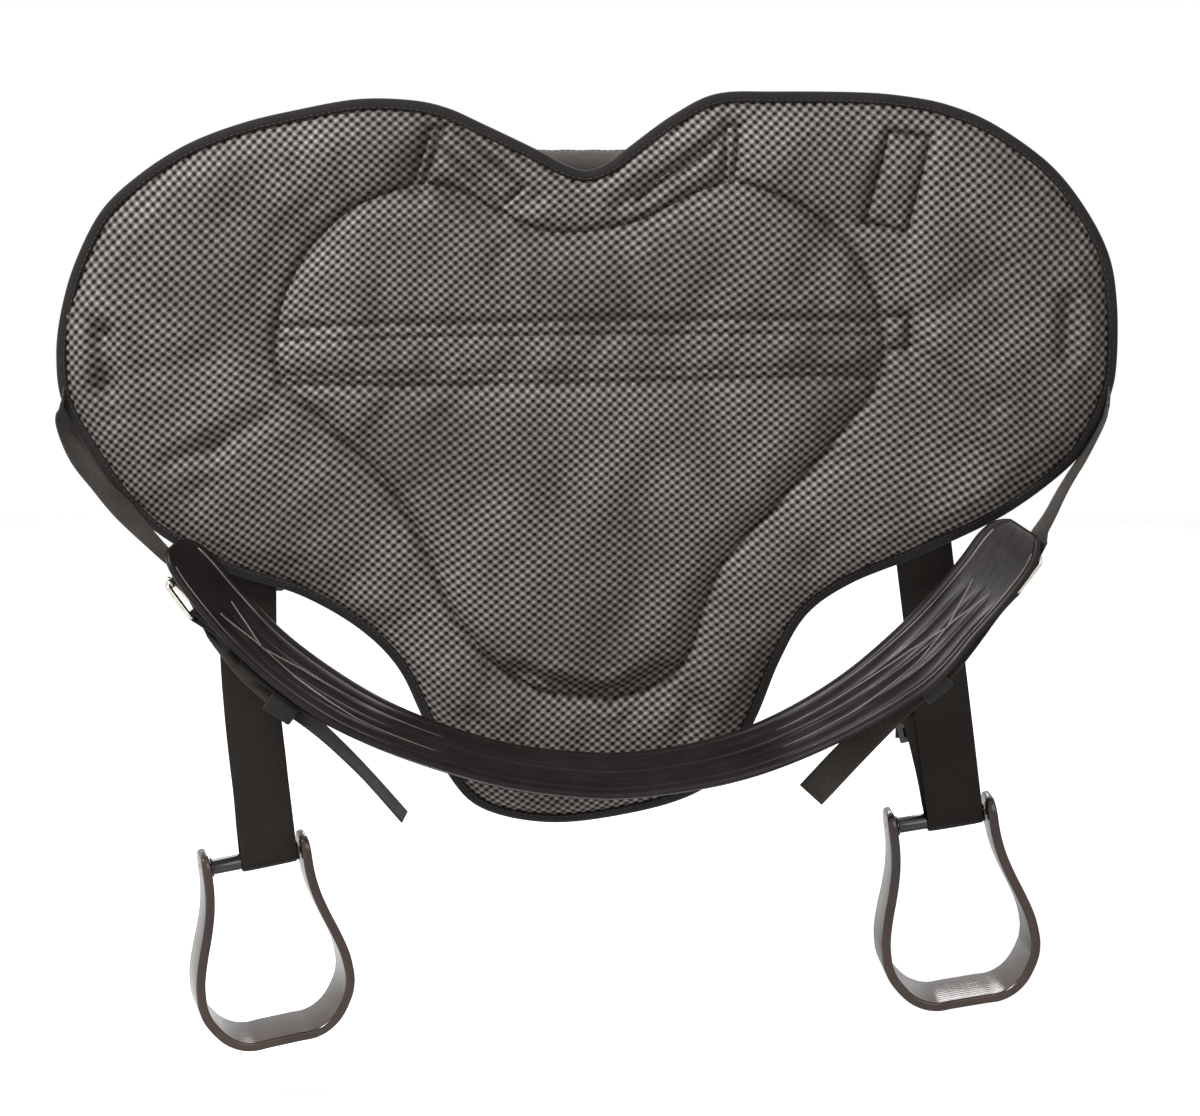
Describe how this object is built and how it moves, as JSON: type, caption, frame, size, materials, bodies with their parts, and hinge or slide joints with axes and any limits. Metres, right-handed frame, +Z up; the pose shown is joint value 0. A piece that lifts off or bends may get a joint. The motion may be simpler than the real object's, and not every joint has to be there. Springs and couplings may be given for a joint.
{
  "type": "bareback riding pad",
  "caption": "Heart-shaped padded bareback pad with a grab handle, a buckled girth, billets, and stirrups on webbing straps.",
  "frame": {"origin": "underside of the grab handle's grip at its middle, where a hook carries the hung pad", "axes": "+Z up along the hung pad towards its handle, +X to the right when looking at the horse side, which faces -Y; the seat side faces +Y"},
  "size_m": [0.9126, 0.163, 0.85],
  "materials": {
    "woven_mesh": "vinyl-coated basket weave, grey-brown, soft sheen on each knot",
    "felt": "pressed wool felt on foam",
    "seat_nylon": "black nylon cloth",
    "suede": "dark suede",
    "binding": "black edge tape, folded and sewn",
    "webbing": "black ribbed webbing",
    "stirrup_webbing": "black-brown flat webbing",
    "billet_webbing": "dark grey ribbed webbing",
    "grip": "grey woven cover",
    "liner": "black quilted neoprene",
    "moulded_plastic": "dark brown moulding with a satin shine",
    "bolt_steel": "dull steel",
    "steel": "bright steel wire",
    "nickel": "bright nickel plate"
  },
  "bodies": {
    "pad": {"underside_cover": "woven_mesh", "foam_core": "felt", "seat_cover": "seat_nylon", "seat_panel": "suede", "edge_binding": "binding", "cross_strap": "webbing", "handle_web": "webbing", "handle_grip": "grip", "handle_tab_left": "webbing", "stirrup_anchor_left": "stirrup_webbing", "billet_anchor_left": "billet_webbing", "dee_tab_left": "webbing", "handle_tab_right": "webbing", "stirrup_anchor_right": "stirrup_webbing", "billet_anchor_right": "billet_webbing", "dee_tab_right": "webbing"},
    "girth": {"girth_liner": "liner", "girth_backing": "webbing", "chape_left": "webbing", "buckle_frame_left": "nickel", "keeper_left": "webbing", "billet_left": "billet_webbing", "chape_right": "webbing", "buckle_frame_right": "nickel", "keeper_right": "webbing", "billet_right": "billet_webbing"},
    "dee_left": {"dee_ring_left": "steel"},
    "prong_left": {"buckle_prong_left": "nickel"},
    "roller_left": {"buckle_roller_left": "nickel"},
    "strap_left": {"stirrup_strap_left": "stirrup_webbing", "strap_slide_left": "moulded_plastic"},
    "stirrup_left": {"stirrup_left": "moulded_plastic", "stirrup_bolt_left": "bolt_steel"},
    "sleeve_left": {"bar_sleeve_left": "moulded_plastic"},
    "dee_right": {"dee_ring_right": "steel"},
    "prong_right": {"buckle_prong_right": "nickel"},
    "roller_right": {"buckle_roller_right": "nickel"},
    "strap_right": {"stirrup_strap_right": "stirrup_webbing", "strap_slide_right": "moulded_plastic"},
    "stirrup_right": {"stirrup_right": "moulded_plastic", "stirrup_bolt_right": "bolt_steel"},
    "sleeve_right": {"bar_sleeve_right": "moulded_plastic"}
  },
  "joints": [
    {"name": "girth_swing", "type": "hinge", "parent": "pad", "child": "girth", "pos_m": [0, -0.0662, -0.19], "axis": [-1, 0, 0], "range_deg": [0, 120]},
    {"name": "stirrup_strap_left_swing", "type": "hinge", "parent": "pad", "child": "strap_left", "pos_m": [-0.255, -0.04769, -0.042], "axis": [0.9983, 0, -0.0578], "range_deg": [0, 110]},
    {"name": "stirrup_left_pivot", "type": "hinge", "parent": "strap_left", "child": "stirrup_left", "pos_m": [-0.29949, -0.03427, -0.60639], "axis": [0.9503, 0.2905, 0.1115], "range_deg": [-80, 80]},
    {"name": "bar_sleeve_left_spin", "type": "hinge", "parent": "stirrup_left", "child": "sleeve_left", "pos_m": [-0.29949, -0.03427, -0.60639], "axis": [0.9503, 0.2905, 0.1115], "continuous": true},
    {"name": "dee_left_swing", "type": "hinge", "parent": "pad", "child": "dee_left", "pos_m": [-0.133, -0.03626, 0.037], "axis": [0.9877, 0, -0.1564], "range_deg": [0, 150]},
    {"name": "buckle_prong_left_lift", "type": "hinge", "parent": "girth", "child": "prong_left", "pos_m": [-0.33148, -0.10042, -0.36344], "axis": [-0.3439, -0.9081, -0.2389], "range_deg": [0, 20]},
    {"name": "buckle_roller_left_spin", "type": "hinge", "parent": "girth", "child": "roller_left", "pos_m": [-0.35031, -0.10042, -0.33634], "axis": [0.3439, 0.9081, 0.2389], "continuous": true},
    {"name": "stirrup_strap_right_swing", "type": "hinge", "parent": "pad", "child": "strap_right", "pos_m": [0.255, -0.04739, -0.042], "axis": [0.9903, 0, 0.1387], "range_deg": [0, 110]},
    {"name": "stirrup_right_pivot", "type": "hinge", "parent": "strap_right", "child": "stirrup_right", "pos_m": [0.31636, -0.03098, -0.56991], "axis": [0.9869, 0.0517, 0.153], "range_deg": [-80, 80]},
    {"name": "bar_sleeve_right_spin", "type": "hinge", "parent": "stirrup_right", "child": "sleeve_right", "pos_m": [0.31636, -0.03098, -0.56991], "axis": [0.9869, 0.0517, 0.153], "continuous": true},
    {"name": "dee_right_swing", "type": "hinge", "parent": "pad", "child": "dee_right", "pos_m": [0.133, -0.03593, 0.037], "axis": [0.9877, 0, 0.1564], "range_deg": [0, 150]},
    {"name": "buckle_prong_right_lift", "type": "hinge", "parent": "girth", "child": "prong_right", "pos_m": [0.35851, -0.08623, -0.34186], "axis": [-0.5823, 0.6896, 0.4305], "range_deg": [0, 20]},
    {"name": "buckle_roller_right_spin", "type": "hinge", "parent": "girth", "child": "roller_right", "pos_m": [0.37813, -0.08623, -0.31532], "axis": [-0.5823, 0.6896, 0.4305], "continuous": true}
  ]
}
